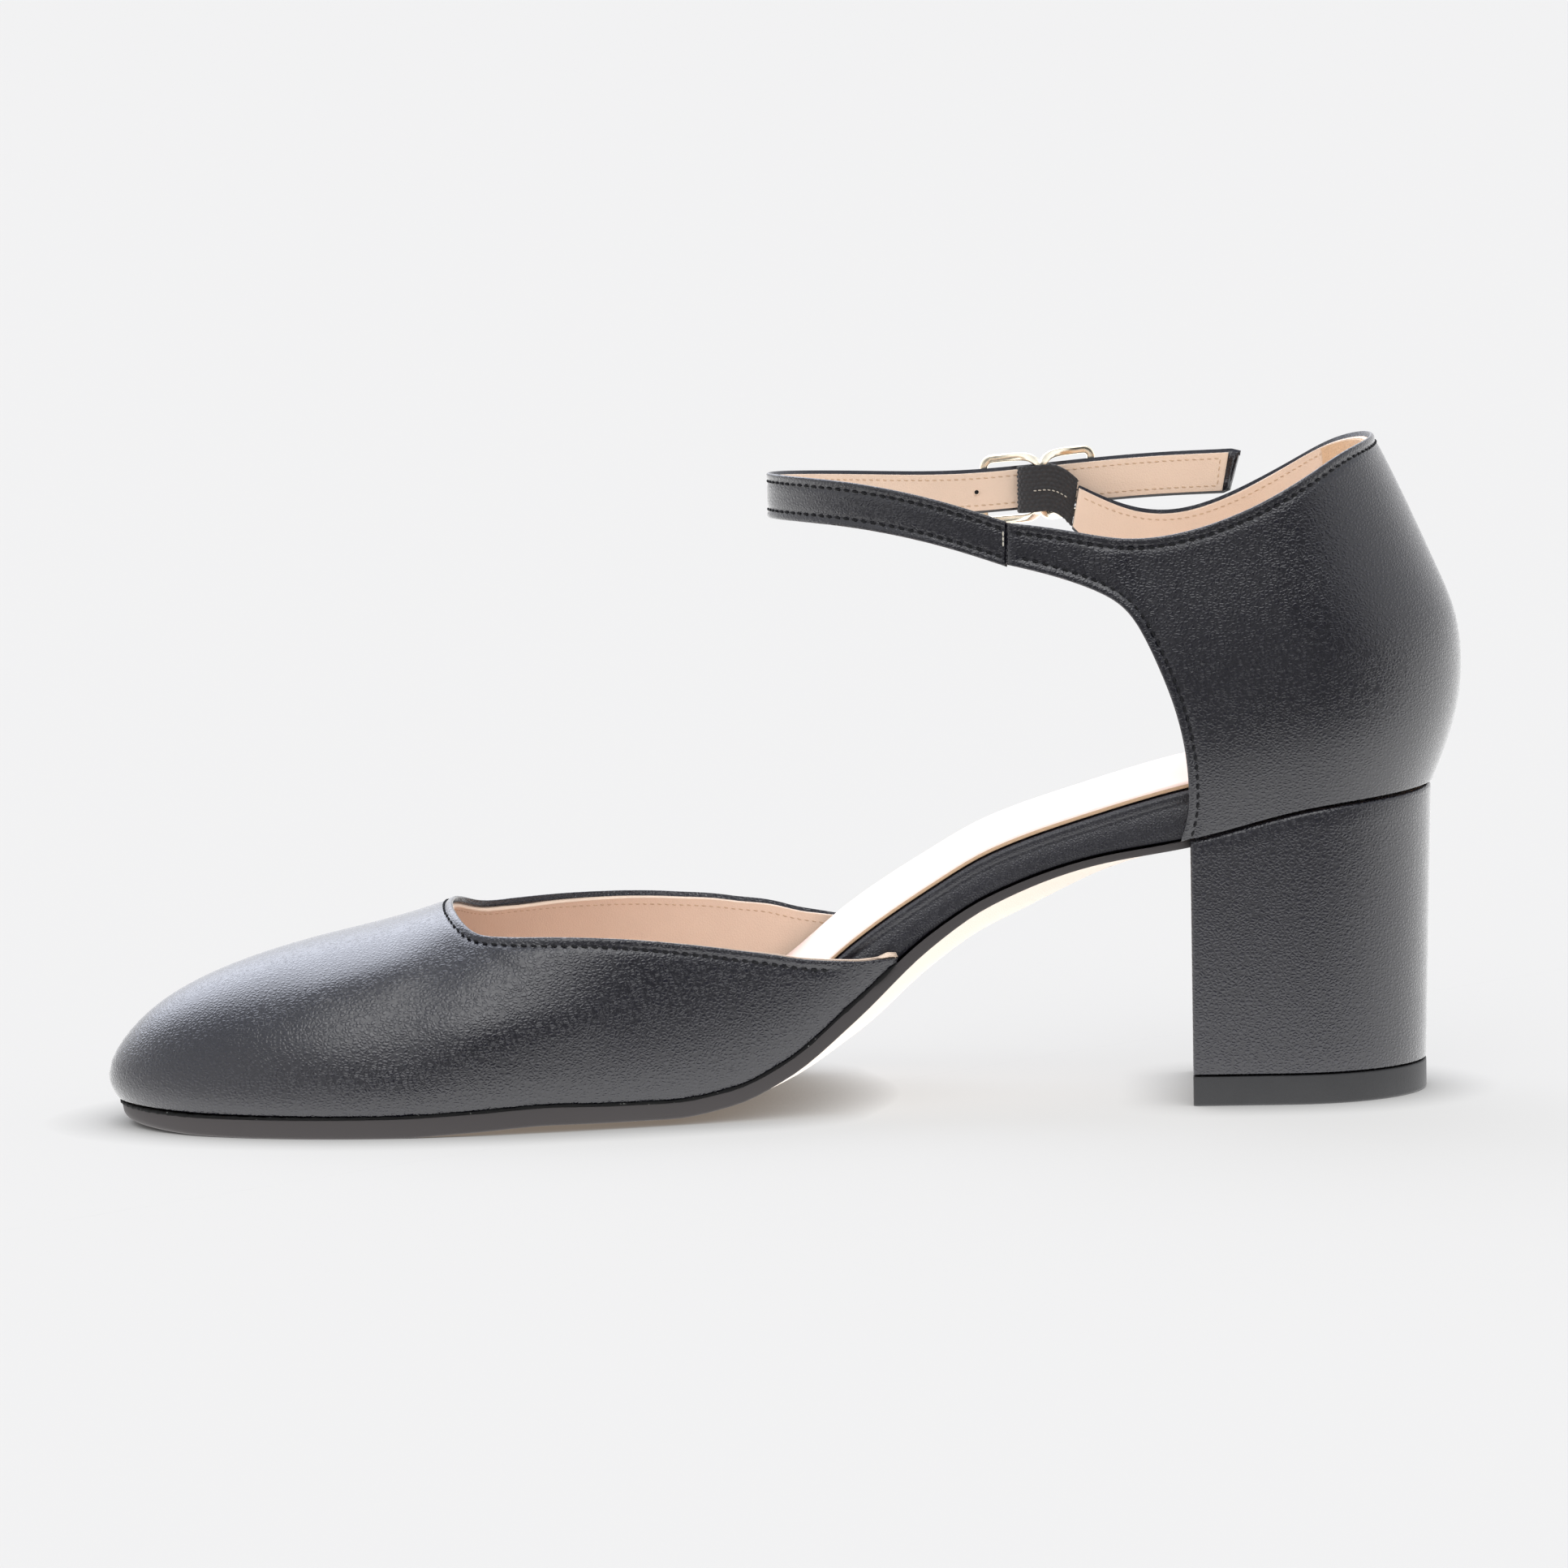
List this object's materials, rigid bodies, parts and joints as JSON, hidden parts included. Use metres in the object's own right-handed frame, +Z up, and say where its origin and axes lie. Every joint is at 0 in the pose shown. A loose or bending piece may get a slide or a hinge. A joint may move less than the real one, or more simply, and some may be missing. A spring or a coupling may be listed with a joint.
{
  "type": "d'orsay pump",
  "caption": "Black leather d'Orsay pump for the right foot, with an open waist, covered block heel, closed almond toe and buckled ankle strap on an elastic gore.",
  "frame": {"origin": "middle of the shoe's length and width, on the floor", "axes": "+Z up, -X towards the toe, +Y towards the lateral side (with the buckle)"},
  "size_m": [0.241, 0.0787, 0.1172],
  "materials": {
    "black_leather": "satin grained",
    "sock_leather": "matt, pale",
    "sole_edge": "satin black edge over a beige underside",
    "black_rubber": "matt",
    "black_elastic": "woven elastic",
    "pale_gold": "polished pale gold plating"
  },
  "bodies": {
    "root": {"outsole": "sole_edge", "insole_board": "black_leather", "sock_lining": "sock_leather", "vamp": "black_leather", "heel_counter": "black_leather", "ankle_strap": "black_leather", "elastic_gore": "black_elastic", "buckle_frame": "pale_gold", "buckle_prong": "pale_gold", "heel_block": "black_leather", "top_lift": "black_rubber"}
  },
  "joints": []
}
